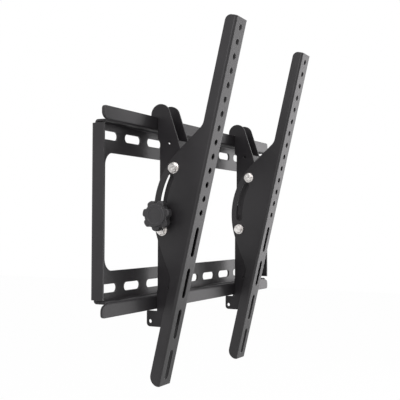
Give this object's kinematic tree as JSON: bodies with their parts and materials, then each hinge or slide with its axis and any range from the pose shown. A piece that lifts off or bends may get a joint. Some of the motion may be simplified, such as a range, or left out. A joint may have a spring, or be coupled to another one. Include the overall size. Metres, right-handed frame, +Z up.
{
  "type": "tilting television wall mount",
  "caption": "Tilting wall mount for a flat television: a slotted wall plate with hook rails, hanging hook brackets, and long pierced arms that tilt on arc slots and lock with lobed knobs.",
  "frame": {"origin": "centre of the wall plate on the plane of the wall", "axes": "+X along the rails to the right seen from the room, +Y into the wall, +Z up"},
  "size_m": [0.436, 0.1186, 0.4217],
  "materials": {
    "black_steel": "satin black powder coat",
    "zinc_steel": "bright zinc plate",
    "pale_nylon": "natural nylon",
    "knob_plastic": "dark grey moulded plastic"
  },
  "bodies": {
    "wall": {"wall_plate": "black_steel"},
    "hanger_left": {"hook_bracket_left": "black_steel", "knob_nut_left": "zinc_steel"},
    "tilt_left": {"tilt_arm_left": "black_steel", "guide_bolt_upper_left": "zinc_steel", "guide_bolt_lower_left": "zinc_steel", "guide_nut_upper_left": "zinc_steel", "guide_nut_lower_left": "zinc_steel", "guide_bush_upper_left": "pale_nylon", "guide_bush_lower_left": "pale_nylon", "guide_washers_left": "zinc_steel"},
    "knob_left": {"tilt_knob_left": "knob_plastic", "knob_stud_left": "zinc_steel", "knob_washer_left": "pale_nylon"},
    "hanger_right": {"hook_bracket_right": "black_steel", "knob_nut_right": "zinc_steel"},
    "tilt_right": {"tilt_arm_right": "black_steel", "guide_bolt_upper_right": "zinc_steel", "guide_bolt_lower_right": "zinc_steel", "guide_nut_upper_right": "zinc_steel", "guide_nut_lower_right": "zinc_steel", "guide_bush_upper_right": "pale_nylon", "guide_bush_lower_right": "pale_nylon", "guide_washers_right": "zinc_steel"},
    "knob_right": {"tilt_knob_right": "knob_plastic", "knob_stud_right": "zinc_steel", "knob_washer_right": "pale_nylon"}
  },
  "joints": [
    {"name": "rail_slide_left", "type": "slide", "parent": "wall", "child": "hanger_left", "axis": [1, 0, 0], "range_m": [-0.083, 0.07]},
    {"name": "tilt_hinge_left", "type": "hinge", "parent": "hanger_left", "child": "tilt_left", "pos_m": [-0.097, -0.1065, 0], "axis": [-1, 0, 0], "range_deg": [0, 27]},
    {"name": "knob_turn_left", "type": "hinge", "parent": "hanger_left", "child": "knob_left", "pos_m": [-0.097, -0.02457, -0.0035], "axis": [-1, 0, 0], "range_deg": [0, 360]},
    {"name": "rail_slide_right", "type": "slide", "parent": "wall", "child": "hanger_right", "axis": [1, 0, 0], "range_m": [-0.085, 0.068]},
    {"name": "tilt_hinge_right", "type": "hinge", "parent": "hanger_right", "child": "tilt_right", "pos_m": [0.112, -0.1065, 0], "axis": [-1, 0, 0], "range_deg": [0, 27]},
    {"name": "knob_turn_right", "type": "hinge", "parent": "hanger_right", "child": "knob_right", "pos_m": [0.112, -0.02457, -0.0035], "axis": [1, 0, 0], "range_deg": [0, 360]}
  ]
}
